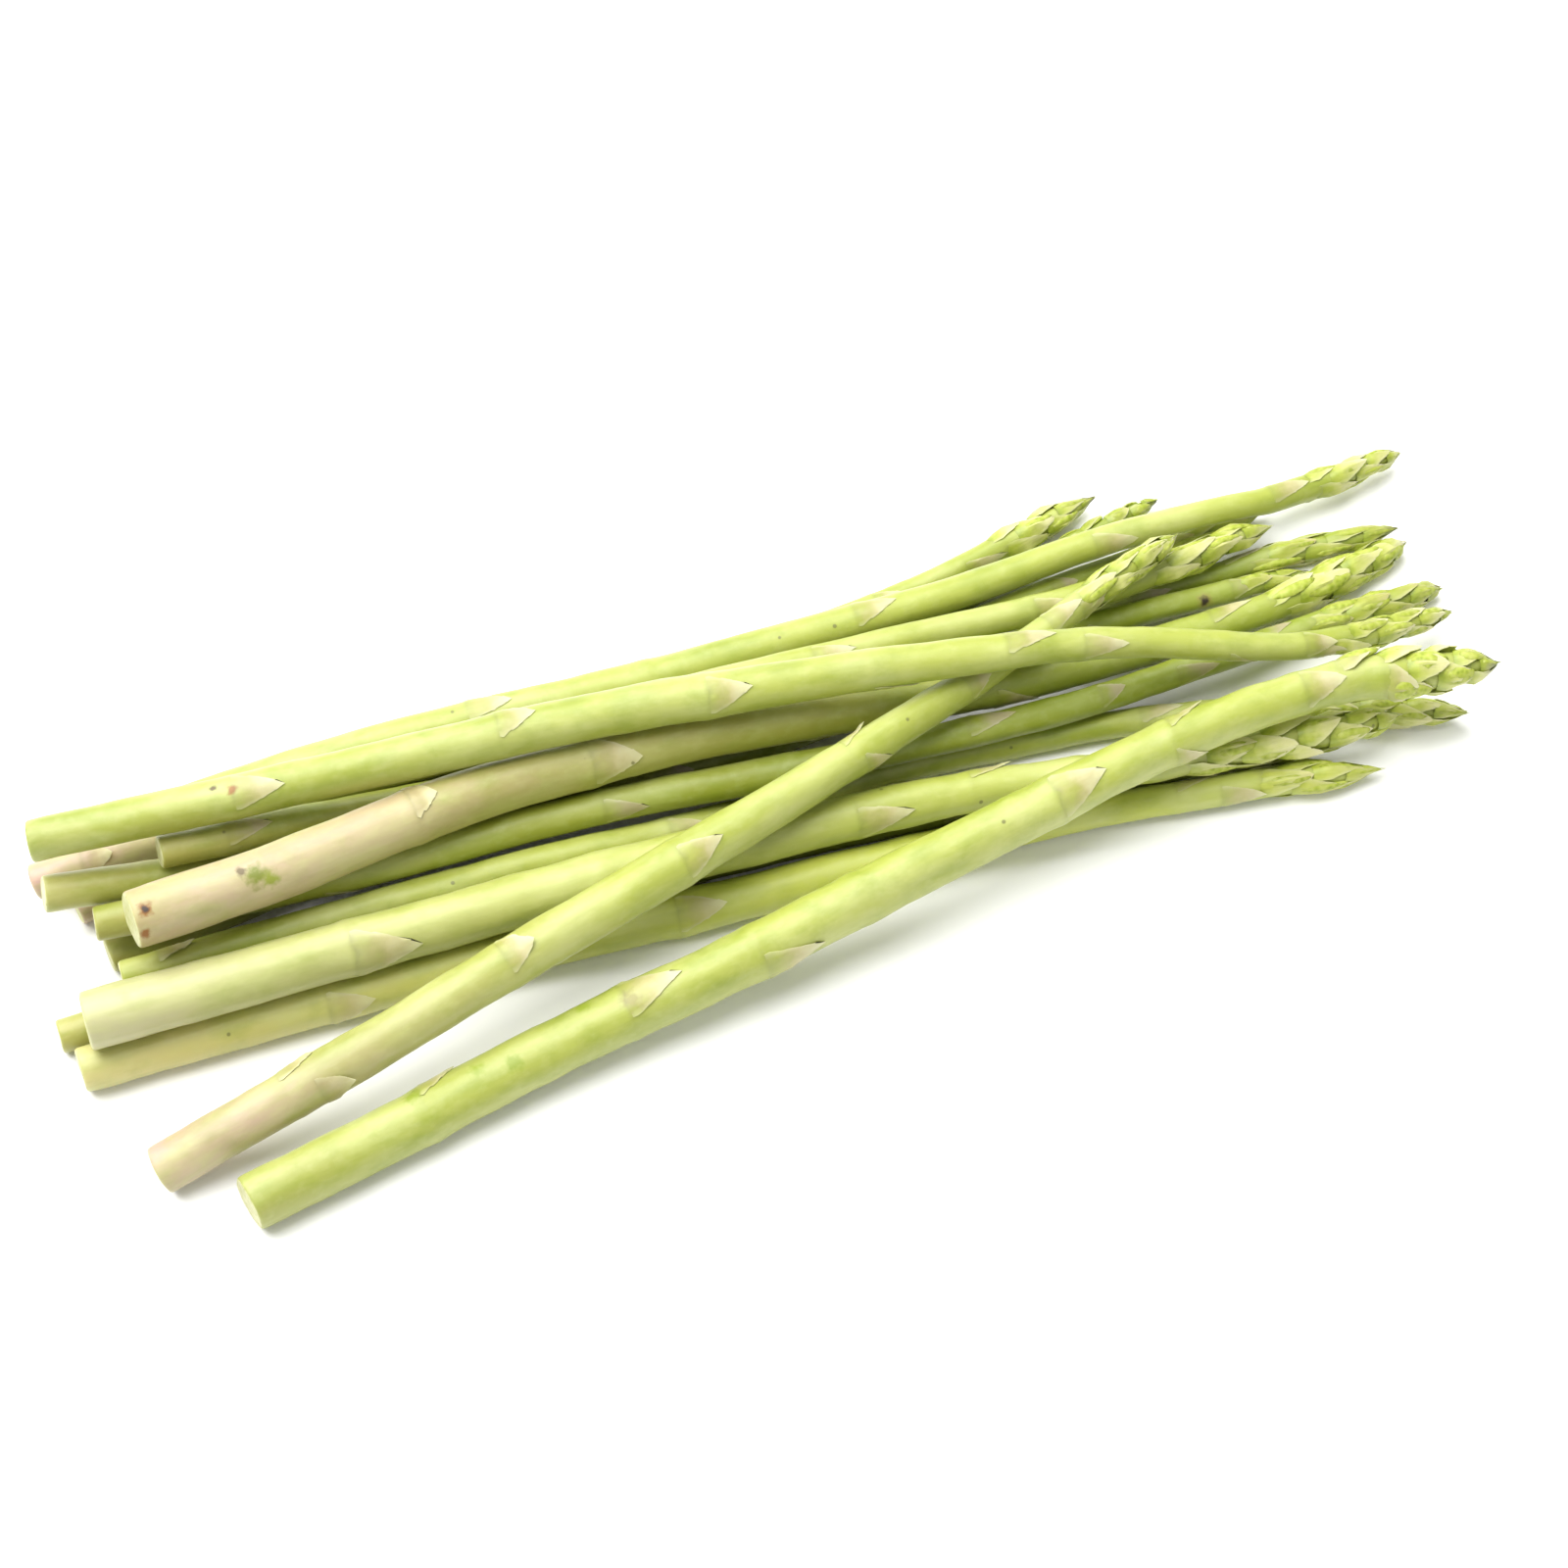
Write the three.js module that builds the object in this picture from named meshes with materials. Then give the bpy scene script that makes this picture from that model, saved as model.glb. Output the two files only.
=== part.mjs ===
// A loose bundle of cut green asparagus spears, lying crossed in a low pile on a flat surface.
// Millimetres. +X runs from the cut ends to the heads, +Z is up and the surface is at z = 0.
// Each spear grew in one piece, so each spear is one solid.
import * as THREE from 'three';
import { mergeVertices } from 'three/addons/utils/BufferGeometryUtils.js';

// Driving dimensions of one spear's section and of the pile
const sectionSides = 10;
const stalkSections = 19;
const headSections = 12;
const rimRounding = 0.5; // the cut edge is worn by this much
const tipRadius = 0.7;
const spearGap = 0.45; // clear space between two spears that lie against each other
const flatBand = 0.35; // a facet lower than this lies flat on the surface

// Where along a spear, as a share of its length, its width changes
const middleAt = 0.45;
const neckAt = 0.86;
const headAt = 0.92;
const shoulderAt = 0.97;
const shoulderShare = 0.84; // the head's width there, as a share of its widest

// The overlapping scale leaves of a head, as steps in its surface
const scaleTurn = 2.4; // golden angle between one scale leaf and the next, in radians
const scalesPerHead = 22;
const scaleDepth = 0.13; // how far a step goes in, as a share of the radius
const scaleSpan = 3; // each leaf reaches over this many of the next ones

const nearlyParallel = 1e-6; // below this two stretches of centre line count as parallel
const weldDistance = 1e-4;

const colours = {
  green: 0xa9c64e,
  paleGreen: 0xc3d07e,
  creamButt: 0xd6cfa2,
  olive: 0x93a94c,
};

// Each spear's lie: side is its y and height is its z at places evenly spaced in x, from the cut end
// to the tip. The widths are at the cut end, at mid stalk, below the head and across the head.
const spears = [
  {
    name: 'spear_01_front', colour: colours.green, from: -109, to: 129,
    side: [-44, -38, -32, -28, -23, -18, -13, -11, -17], height: [4.8, 5, 6.5, 9, 12, 14.5, 16.5, 17, 18],
    widths: [10, 10, 7.7, 9],
  },
  {
    name: 'spear_02_crossing', colour: colours.green, from: -122, to: 85,
    side: [-33, -27, -19, -10, 1, 14, 29], height: [4.2, 12, 17, 19, 18.5, 16.5, 14],
    widths: [8.8, 9, 5.3, 5.8],
  },
  {
    name: 'spear_03_low_front', colour: colours.paleGreen, from: -130, to: 106,
    side: [-10, -10, -11, -13, -14, -16, -23], height: [4, 4, 4, 4, 3.6, 3.3, 3],
    widths: [8.4, 8.4, 5.5, 6.2],
  },
  {
    name: 'spear_04_tucked_under', colour: colours.olive, from: -132, to: 97,
    side: [-2, -2, -3, -4, -6, -10, -15], height: [3, 3, 3, 3, 2.6, 2.4, 2.4],
    widths: [6.3, 6.3, 4.6, 4.9],
  },
  {
    name: 'spear_05_pale_thick', colour: colours.paleGreen, from: -127, to: 112,
    side: [-6, -6, -5, -6, -8, -13, -16], height: [13.5, 13, 12, 10.5, 9.5, 8.5, 7],
    widths: [10.6, 9.2, 6, 7.2],
  },
  {
    name: 'spear_06_long_slim', colour: colours.green, from: -119, to: 125,
    side: [1.5, 2, 2, 4, 3, -3, -17], height: [10.5, 10, 9, 5, 2.8, 2.8, 3.4],
    widths: [6, 6, 4.9, 6],
  },
  {
    name: 'spear_07_middle', colour: colours.olive, from: -121, to: 131,
    side: [12, 9, 8, 6, 4, 7, 10], height: [13.5, 12.3, 11.4, 10, 8.4, 6, 2],
    widths: [6.5, 6.3, 4.9, 6],
  },
  {
    name: 'spear_08_bent_pale', colour: colours.creamButt, from: -115, to: 128,
    side: [5, 8, 13, 14, 12, 11, 11, 14, 21], height: [23.5, 21, 19, 17, 14, 10.5, 7.5, 4.5, 2.4],
    widths: [10.6, 9, 6, 7.2],
  },
  {
    name: 'spear_09_olive', colour: colours.olive, from: -128, to: 128,
    side: [19, 16, 14, 16, 21, 26, 24], height: [15.5, 10, 6.5, 3.5, 2.6, 2.5, 2.8],
    widths: [6.7, 6.4, 4.2, 5.4],
  },
  {
    name: 'spear_10_short_cut', colour: colours.green, from: -107, to: 109,
    side: [19, 19, 18, 19, 19, 20, 21], height: [19, 14, 11, 9.5, 8, 5.5, 2],
    widths: [6, 6, 4.8, 4.9],
  },
  {
    name: 'spear_11_top', colour: colours.green, from: -128, to: 130,
    side: [25, 22, 20, 18, 15, 11, 7, 0, 3], height: [24, 25.5, 26, 26, 25.5, 24, 20.5, 14, 4.5],
    widths: [7.6, 8.4, 4.9, 5.6],
  },
  {
    name: 'spear_12_rear', colour: colours.green, from: -114, to: 134,
    side: [35, 35, 34, 32, 31, 32, 34.5, 35, 39], height: [3.3, 7, 9, 9.5, 9.5, 9, 8, 6.5, 3.5],
    widths: [7, 7.4, 4.9, 5.6],
  },
  {
    name: 'spear_13_pink_butt', colour: colours.paleGreen, from: -129, to: 105,
    side: [29, 27, 24, 24, 24, 24, 30], height: [3.3, 11.5, 14.7, 14.7, 12.7, 10, 5.2],
    widths: [7, 6.4, 5.3, 6],
  },
  {
    name: 'spear_14_back_floor', colour: colours.paleGreen, from: -123, to: 77,
    side: [21, 27, 31, 33, 36, 40, 48], height: [2.6, 2.6, 2.6, 2.6, 2.6, 2.8, 3.2],
    widths: [4.9, 5.3, 4.8, 6],
  },
  {
    name: 'spear_15_back_slim', colour: colours.olive, from: -120, to: 88,
    side: [11, 15, 20, 24, 29, 36, 44], height: [3.2, 3, 2.8, 2.6, 2.3, 2.2, 2.4],
    widths: [6.3, 5.7, 3.8, 4.8],
  },
  {
    name: 'spear_16_buried', colour: colours.olive, from: -107, to: 106,
    side: [19, 22, 24, 25, 27, 32, 36], height: [3.2, 7, 8.5, 7.8, 5.4, 3.3, 2.4],
    widths: [6, 5.7, 4.6, 4.9],
  },
];

// Half the width of a spear at a share of its length, with the stalk tapering to the neck and the
// head swelling and closing to a blunt point.
function radiusAt(spear, share) {
  const [butt, middle, neck, head] = spear.widths.map((width) => width / 2);
  const places = [0, middleAt, neckAt, headAt, shoulderAt, 1];
  const radii = [butt, middle, neck, head, head * shoulderShare, tipRadius];
  const next = Math.max(1, places.findIndex((place) => place >= share));
  const along = (share - places[next - 1]) / (places[next] - places[next - 1]);
  return THREE.MathUtils.lerp(radii[next - 1], radii[next], along);
}

// Shares of the length at which a spear has a section: even on the stalk, closer on the head.
function sectionShares() {
  const shares = [];
  for (let i = 0; i < stalkSections; i += 1) shares.push((neckAt * i) / stalkSections);
  for (let i = 0; i <= headSections; i += 1) shares.push(neckAt + ((1 - neckAt) * i) / headSections);
  return shares;
}

// The centre line through a spear's places, sampled at its sections.
function layCentreLine(spear) {
  const last = spear.side.length - 1;
  const places = spear.side.map((y, i) => {
    const x = THREE.MathUtils.lerp(spear.from, spear.to, i / last);
    return new THREE.Vector3(x, y, spear.height[i]);
  });
  const curve = new THREE.CatmullRomCurve3(places, false, 'centripetal');
  return sectionShares().map((share) => curve.getPointAt(share));
}

// Pushes the spears apart, and up off the surface, until every two are clear of each other. Each
// push is spread along its spear, so that the spear stays smooth as it gives way.
function settlePile(pile) {
  const spreadRounds = 260;
  const finishRounds = 60;
  const facetShare = Math.cos(Math.PI / sectionSides);
  for (let round = 0; round < spreadRounds + finishRounds; round += 1) {
    const pushes = pile.map((spear) => spear.line.map(() => new THREE.Vector3()));
    for (let a = 0; a < pile.length; a += 1) {
      for (let b = a + 1; b < pile.length; b += 1) pushApart(pile[a], pile[b], pushes[a], pushes[b]);
    }
    pile.forEach((spear, s) => {
      const moves = round < spreadRounds ? spread(pushes[s]) : pushes[s];
      spear.line.forEach((point, i) => {
        point.add(moves[i]);
        point.z = Math.max(point.z, spear.radii[i] * facetShare);
      });
    });
  }
}

function pushApart(one, other, onePushes, otherPushes) {
  for (let i = 0; i < one.line.length - 1; i += 1) {
    for (let j = 0; j < other.line.length - 1; j += 1) {
      const between = nearestPoints(one, i, other, j);
      const apart = between.from.distanceTo(between.to);
      const short = between.reach + spearGap - apart;
      if (short > 0) {
        const push = between.to.sub(between.from).setLength(short / 2);
        onePushes[i].addScaledVector(push, -(1 - between.oneShare));
        onePushes[i + 1].addScaledVector(push, -between.oneShare);
        otherPushes[j].addScaledVector(push, 1 - between.otherShare);
        otherPushes[j + 1].addScaledVector(push, between.otherShare);
      }
    }
  }
}

// The nearest points of two straight stretches of centre line, with the sum of the radii there.
function nearestPoints(one, i, other, j) {
  const start = one.line[i];
  const run = one.line[i + 1].clone().sub(start);
  const otherStart = other.line[j];
  const otherRun = other.line[j + 1].clone().sub(otherStart);
  const offset = start.clone().sub(otherStart);
  const a = run.lengthSq();
  const b = run.dot(otherRun);
  const c = otherRun.lengthSq();
  const d = run.dot(offset);
  const e = otherRun.dot(offset);
  const spreadOf = a * c - b * b;
  let oneShare = spreadOf > nearlyParallel ? THREE.MathUtils.clamp((b * e - c * d) / spreadOf, 0, 1) : 0.5;
  const otherShare = THREE.MathUtils.clamp((b * oneShare + e) / c, 0, 1);
  oneShare = THREE.MathUtils.clamp((b * otherShare - d) / a, 0, 1);
  const reachOne = THREE.MathUtils.lerp(one.radii[i], one.radii[i + 1], oneShare);
  const reachOther = THREE.MathUtils.lerp(other.radii[j], other.radii[j + 1], otherShare);
  return {
    from: start.clone().addScaledVector(run, oneShare),
    to: otherStart.clone().addScaledVector(otherRun, otherShare),
    oneShare,
    otherShare,
    reach: reachOne + reachOther,
  };
}

// Shares each push with the sections on either side of it.
function spread(pushes) {
  const reach = 2;
  return pushes.map((push, i) => {
    const sum = new THREE.Vector3();
    for (let step = -reach; step <= reach; step += 1) {
      const neighbour = pushes[i + step];
      if (neighbour) sum.addScaledVector(neighbour, (reach + 1 - Math.abs(step)) / (reach + 1) ** 2);
    }
    return sum;
  });
}

// How far in the surface lies under the scale leaves of a head: each leaf stands proud at its own
// free edge and dips to where the next one starts, one golden angle further round.
function headRelief(share, angle) {
  if (share <= neckAt) return 1;
  const along = ((share - neckAt) / (1 - neckAt)) * scalesPerHead;
  const turned = angle / scaleTurn;
  const step = (along + turned) / scaleSpan;
  return 1 - scaleDepth * (step - Math.floor(step));
}

// A closed solid around the centre line: rings of points joined by triangles and closed by two caps.
function spearGeometry(spear) {
  const positions = [];
  const indices = [];
  const rings = ringsOf(spear);
  const up = new THREE.Vector3(0, 0, 1);
  rings.forEach(({ centre, tangent, radius, share }) => {
    const sideways = new THREE.Vector3().crossVectors(up, tangent).normalize();
    const upward = new THREE.Vector3().crossVectors(tangent, sideways);
    for (let k = 0; k < sectionSides; k += 1) {
      const angle = ((k + 0.5) / sectionSides) * Math.PI * 2 - Math.PI / 2;
      const reach = radius * headRelief(share, angle);
      const point = centre.clone();
      point.addScaledVector(sideways, reach * Math.cos(angle));
      point.addScaledVector(upward, reach * Math.sin(angle));
      positions.push(point.x, point.y, point.z < flatBand ? 0 : point.z);
    }
  });
  for (let ring = 0; ring < rings.length - 1; ring += 1) {
    for (let k = 0; k < sectionSides; k += 1) {
      const a = ring * sectionSides + k;
      const b = ring * sectionSides + ((k + 1) % sectionSides);
      indices.push(a, b, a + sectionSides, b, b + sectionSides, a + sectionSides);
    }
  }
  closeEnd(positions, indices, rings[0].centre, 0, true);
  closeEnd(positions, indices, rings.at(-1).centre, (rings.length - 1) * sectionSides, false);
  const geometry = new THREE.BufferGeometry();
  geometry.setAttribute('position', new THREE.Float32BufferAttribute(positions, 3));
  geometry.setIndex(indices);
  return mergeVertices(geometry, weldDistance);
}

function closeEnd(positions, indices, centre, firstOfRing, isStart) {
  const middle = positions.length / 3;
  positions.push(centre.x, centre.y, Math.max(centre.z, flatBand));
  for (let k = 0; k < sectionSides; k += 1) {
    const a = firstOfRing + k;
    const b = firstOfRing + ((k + 1) % sectionSides);
    if (isStart) indices.push(middle, b, a);
    else indices.push(middle, a, b);
  }
}

// The sections of a spear with their directions, and one more just inside the cut end for its rim.
function ringsOf(spear) {
  const { line, radii } = spear;
  const shares = sectionShares();
  const rings = line.map((centre, i) => {
    const before = line[Math.max(i - 1, 0)];
    const after = line[Math.min(i + 1, line.length - 1)];
    const tangent = after.clone().sub(before).normalize();
    return { centre, tangent, radius: radii[i], share: shares[i] };
  });
  const cut = rings[0];
  const rim = { ...cut, centre: cut.centre.clone().addScaledVector(cut.tangent, rimRounding) };
  const face = { ...cut, radius: cut.radius - rimRounding };
  return [face, rim, ...rings.slice(1)];
}

const pile = spears.map((spear) => ({
  ...spear,
  line: layCentreLine(spear),
  radii: sectionShares().map((share) => radiusAt(spear, share)),
}));
settlePile(pile);

const bundle = new THREE.Group();
pile.forEach((spear) => {
  const skin = new THREE.MeshStandardMaterial({ color: spear.colour, roughness: 0.45, metalness: 0 });
  const mesh = new THREE.Mesh(spearGeometry(spear), skin);
  mesh.name = spear.name;
  bundle.add(mesh);
});

// The origin is on the surface, under the middle of the bundle.
const middle = new THREE.Box3().setFromObject(bundle).getCenter(new THREE.Vector3());
bundle.position.set(-middle.x, -middle.y, 0);

export default bundle;
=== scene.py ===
# A loose bundle of green asparagus. Each spear is grown straight, with its scale leaves and its head,
# and is then bent along the line of its own solid.

import math
import random

import bpy
import numpy as np
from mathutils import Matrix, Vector


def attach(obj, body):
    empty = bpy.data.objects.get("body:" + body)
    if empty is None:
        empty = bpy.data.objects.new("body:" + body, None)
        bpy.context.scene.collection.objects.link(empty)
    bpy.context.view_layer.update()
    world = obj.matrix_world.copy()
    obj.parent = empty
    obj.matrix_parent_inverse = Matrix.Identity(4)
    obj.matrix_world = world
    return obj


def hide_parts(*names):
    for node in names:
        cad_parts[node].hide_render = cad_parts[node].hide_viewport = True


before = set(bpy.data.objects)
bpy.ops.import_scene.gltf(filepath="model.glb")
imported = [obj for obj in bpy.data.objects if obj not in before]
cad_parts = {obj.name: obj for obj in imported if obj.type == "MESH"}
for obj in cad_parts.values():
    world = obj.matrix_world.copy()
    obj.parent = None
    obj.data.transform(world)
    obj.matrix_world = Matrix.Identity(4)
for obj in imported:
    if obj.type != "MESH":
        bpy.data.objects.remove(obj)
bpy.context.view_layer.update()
print("frame loaded:", len(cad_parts), "spears")

mm = 0.001
goldenTurn = 137.5  # degrees from one scale of a head to the next


def linear(hexColour):
    # an sRGB hex value as the linear colour that a shader takes
    parts = [int(hexColour[i:i + 2], 16) / 255 for i in (1, 3, 5)]
    return [p / 12.92 if p <= 0.04045 else ((p + 0.055) / 1.055) ** 2.4 for p in parts] + [1.0]


def addNode(tree, kind, inputs=None, stops=None, **settings):
    # one node with its settings, its input values and links, and the stops of its ramp
    node = tree.nodes.new(kind)
    for name, value in settings.items():
        setattr(node, name, value)
    for name, value in (inputs or {}).items():
        socket = node.inputs[name]
        if isinstance(value, bpy.types.NodeSocket):
            tree.links.new(value, socket)
        else:
            socket.default_value = value
    if stops:
        elements = node.color_ramp.elements
        while len(elements) < len(stops):
            elements.new(0.5)
        for element, (place, shade) in zip(elements, stops):
            element.position = place
            element.color = linear(shade)
    return node


def only(piece):
    # nothing but this piece selected, and active
    bpy.ops.object.select_all(action="DESELECT")
    piece.select_set(True)
    bpy.context.view_layer.objects.active = piece


def finishWith(piece, kind, **settings):
    # a modifier added with its settings and applied
    only(piece)
    modifier = piece.modifiers.new(kind.lower(), kind)
    for name, value in settings.items():
        setattr(modifier, name, value)
    bpy.ops.object.modifier_apply(modifier=modifier.name)


def pick(piece, what, chosen):
    # goes into edit mode with only the vertices, edges or faces selected that pass the test
    bpy.ops.object.mode_set(mode="OBJECT")
    mesh = piece.data
    for part in list(mesh.vertices) + list(mesh.edges) + list(mesh.polygons):
        part.select = False
    if what == "VERT":
        for vertex in mesh.vertices:
            vertex.select = chosen(vertex.co)
    elif what == "FACE":
        for face in mesh.polygons:
            face.select = chosen(face.center)
    else:
        for edge in mesh.edges:
            a, b = (mesh.vertices[i].co for i in edge.vertices)
            edge.select = chosen(a, b)
    bpy.ops.object.mode_set(mode="EDIT")
    bpy.ops.mesh.select_mode(type=what)


# The spears as they lie, read off their solids

reading = {
    "cuts": 44,  # across each solid, from its cut end to its tip
    "fromEnds": 6 * mm,  # the first and the last cut keep this far from the slanted ends
    "facetShare": 2.939,  # area of a ten-sided section over its radius squared
    "tipRadius": 0.7 * mm,
}


def readSpear(nodeName):
    # the centre line and the thickness of a spear, read off its solid by cutting it across X
    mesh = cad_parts[nodeName].data
    mesh.calc_loop_triangles()
    points = np.array([v.co for v in mesh.vertices])
    corners = points[np.array([t.vertices[:] for t in mesh.loop_triangles])]
    low, high = points[:, 0].min(), points[:, 0].max()
    inset = reading["fromEnds"]
    middles, areas = [], []
    for x in np.linspace(low + inset, high - inset, reading["cuts"]):
        middle, area = cutAcross(corners, x)
        middles.append(middle)
        areas.append(area)
    middles = np.array(middles)
    heading = np.gradient(middles, axis=0)
    heading /= np.linalg.norm(heading, axis=1)[:, None]
    radii = list(np.sqrt(np.array(areas) * heading[:, 0] / reading["facetShare"]))
    start, end = heading[0], heading[-1]
    firstPlane = (points @ start).min()
    lastPlane = (points @ end).max()
    butt = middles[0] - start * (middles[0] @ start - firstPlane)
    tip = middles[-1] + end * (lastPlane - middles[-1] @ end)
    line = np.vstack([butt, middles, tip])
    return line, [radii[0]] + radii + [reading["tipRadius"]]


def cutAcross(corners, x):
    # the middle and the area of the section that the plane at x makes
    offset = corners[:, :, 0] - x
    ends = []
    for i, j in ((0, 1), (1, 2), (2, 0)):
        crossing = offset[:, i] * offset[:, j] < 0
        apart = offset[:, i] - offset[:, j] + 1e-30  # never quite nothing
        share = np.where(crossing, offset[:, i] / apart, 0)
        point = corners[:, i] + (corners[:, j] - corners[:, i]) * share[:, None]
        ends.append((crossing, point))
    pairs = []
    for a in range(len(corners)):
        hits = [point[a] for crossing, point in ends if crossing[a]]
        if len(hits) == 2:
            pairs.append(hits)
    pairs = np.array(pairs)
    lengths = np.linalg.norm(pairs[:, 1] - pairs[:, 0], axis=1)
    middle = (pairs.mean(axis=1) * lengths[:, None]).sum(0) / lengths.sum()
    spokes = pairs - middle
    area = 0.5 * np.linalg.norm(np.cross(spokes[:, 0], spokes[:, 1]), axis=1).sum()
    return middle, area


def routeOf(name, line):
    # the centre line as a smooth curve that a straight spear can be bent along
    curve = bpy.data.curves.new(name, "CURVE")
    curve.dimensions = "3D"
    curve.twist_mode = "Z_UP"
    curve.resolution_u = 8
    spline = curve.splines.new("BEZIER")
    spline.bezier_points.add(len(line) - 1)
    for point, place in zip(spline.bezier_points, line):
        point.co = place
        point.handle_left_type = point.handle_right_type = "AUTO"
    route = bpy.data.objects.new(name, curve)
    bpy.context.scene.collection.objects.link(route)
    return route


# Scale leaves and buds, modelled once round a stalk of radius 1 that runs along X

stalkLeaf = {
    "sides": 28,  # of the tube that the leaf is cut from
    "halfWrap": 50,  # degrees that each half clasps at the base
    "rows": 6,
    "outline": [(0.20, 0.72), (0.55, 0.50), (0.86, 0.20), (1.0, 0.0)],  # how far along, how far out
    "thickness": 0.026,
    "uneven": 0.034,  # how far its points are shaken
    "sunk": 0.030,  # how far its base goes into the stalk
}
headLeaf = {
    "sides": 12,
    "halfWrap": 64,
    "rows": 4,
    "outline": [(0.30, 0.88), (0.70, 0.56), (0.92, 0.22), (1.0, 0.0)],
    "thickness": 0.03,
    "uneven": 0.05,
    "sunk": 0.10,
    "bulge": 0.20,  # how far the bud under it pushes it out
}
leafPulls = {  # which points of a leaf are pulled, and how far round them the rest is carried along
    "point": {"from": 0.95, "back": 0.08, "reach": 0.5},
    "edge": {"from": 0.45, "between": (0.35, 0.8), "out": 0.3, "reach": 0.4},
    "middle": {"within": 0.3, "between": (0.3, 0.6), "reach": 0.55},
}
crease = 50  # degrees; a sharper edge of a leaf or a bud stays crisp
bud = {
    "sides": 8,
    "rings": 6,
    "size": (0.46, 0.44, 0.26),
    "lift": 0.90,  # how far from the axis its middle is
    "beak": (0.14, 0, -0.05),  # how its point is drawn out
    "beakReach": 0.5,
}


def cutLeaf(name, leaf, seed):
    # a pointed leaf cut out of a tube wall, so that it clasps the stalk
    bpy.ops.object.select_all(action="DESELECT")
    bpy.ops.mesh.primitive_cylinder_add(
        vertices=leaf["sides"], radius=1, depth=1, end_fill_type="NOTHING",
        location=(0.5, 0, 0), rotation=(0, math.pi / 2, 0))
    piece = bpy.context.object
    piece.name = name
    bpy.ops.object.transform_apply(location=True, rotation=True, scale=True)
    lowest = math.cos(math.radians(leaf["halfWrap"]))
    pick(piece, "FACE", lambda middle: middle.z < lowest)
    bpy.ops.mesh.delete(type="FACE")
    pick(piece, "EDGE", lambda a, b: abs(a.x - b.x) > 0.5)  # those that run along it
    bpy.ops.mesh.subdivide(number_cuts=leaf["rows"] - 1)
    for (x0, y0), (x1, y1) in zip(leaf["outline"], leaf["outline"][1:]):
        for side in (1, -1):
            bpy.ops.mesh.select_all(action="SELECT")
            bpy.ops.mesh.bisect(
                plane_co=(x0, side * y0, 0), plane_no=(y0 - y1, side * (x1 - x0), 0),
                clear_outer=True, use_fill=False)
    bpy.ops.mesh.select_all(action="SELECT")
    bpy.ops.transform.vertex_random(offset=leaf["uneven"], seed=seed)
    pick(piece, "VERT", lambda co: co.x < 0.06)  # the base
    narrower = 1 - leaf["sunk"]
    bpy.ops.transform.resize(value=(1, narrower, narrower), center_override=(0, 0, 0))
    return piece


def pull(piece, chosen, move, reach):
    # the chosen points moved, and those around them carried along
    pick(piece, "VERT", chosen)
    bpy.ops.transform.translate(
        value=move, use_proportional_edit=True,
        proportional_edit_falloff="SMOOTH", proportional_size=reach)


def liftPoint(piece, flare):
    point = leafPulls["point"]
    pull(piece, lambda co: co.x > point["from"], (-point["back"] * abs(flare), 0, flare), point["reach"])


def rollEdge(piece, side, curl):
    edge = leafPulls["edge"]
    low, high = edge["between"]
    pull(piece, lambda co: side * co.y > edge["from"] and low < co.x < high,
         (0, edge["out"] * side * curl, curl), edge["reach"])


def swellMiddle(piece, bulge):
    middle = leafPulls["middle"]
    low, high = middle["between"]
    pull(piece, lambda co: abs(co.y) < middle["within"] and low < co.x < high,
         (0, 0, bulge), middle["reach"])


def makeLeaf(name, leaf, seed, flare=0.0, curl=0.0):
    # a thin leaf, its point lifted by flare and one edge rolled back by curl
    piece = cutLeaf(name, leaf, seed)
    if flare:
        liftPoint(piece, flare)
    if curl:
        rollEdge(piece, 1 if seed % 2 else -1, curl)
    if leaf.get("bulge"):
        swellMiddle(piece, leaf["bulge"])
    bpy.ops.object.mode_set(mode="OBJECT")
    noteEdge(piece, leaf)
    finishWith(piece, "SOLIDIFY", thickness=leaf["thickness"], offset=1.0)
    closeUp(piece)
    return piece


def noteEdge(piece, leaf):
    # how near each point is to the leaf's edge: 0 along its middle, 1 at the edge
    outline = [(0.0, math.sin(math.radians(leaf["halfWrap"])))] + leaf["outline"]
    along, out = zip(*outline)
    shares = []
    for vertex in piece.data.vertices:
        halfWidth = float(np.interp(vertex.co.x, along, out)) + 0.02  # never nothing, even at the point
        shares.append(min(abs(vertex.co.y) / halfWidth, 1.0))
    attribute = piece.data.attributes.new("leafEdge", "FLOAT", "POINT")
    attribute.data.foreach_set("value", shares)


def makeBud(name, shape):
    # a plump bud with a drawn-out point, lying along the stalk
    bpy.ops.object.select_all(action="DESELECT")
    bpy.ops.mesh.primitive_uv_sphere_add(
        segments=shape["sides"], ring_count=shape["rings"], radius=1,
        location=(0, 0, 0), rotation=(0, math.pi / 2, 0))
    piece = bpy.context.object
    piece.name = name
    bpy.ops.object.transform_apply(location=True, rotation=True, scale=True)
    pick(piece, "VERT", lambda co: True)
    bpy.ops.transform.resize(value=shape["size"])
    bpy.ops.transform.translate(value=(shape["size"][0], 0, shape["lift"]))
    point = 1.94 * shape["size"][0]  # just short of its far end
    pull(piece, lambda co: co.x > point, shape["beak"], shape["beakReach"])
    bpy.ops.object.mode_set(mode="OBJECT")
    closeUp(piece)
    return piece


def closeUp(piece):
    # doubles merged, faces turned outwards, shaded smooth, and how far along it each point is noted
    only(piece)
    bpy.ops.object.mode_set(mode="EDIT")
    bpy.ops.mesh.select_all(action="SELECT")
    bpy.ops.mesh.remove_doubles(threshold=1e-5)
    bpy.ops.mesh.normals_make_consistent(inside=False)
    bpy.ops.object.mode_set(mode="OBJECT")
    bpy.ops.object.shade_smooth_by_angle(angle=math.radians(crease))
    share = piece.data.attributes.new("leafShare", "FLOAT", "POINT")
    share.data.foreach_set("value", [min(max(v.co.x, 0.0), 1.0) for v in piece.data.vertices])
    piece.hide_render = True


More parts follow.
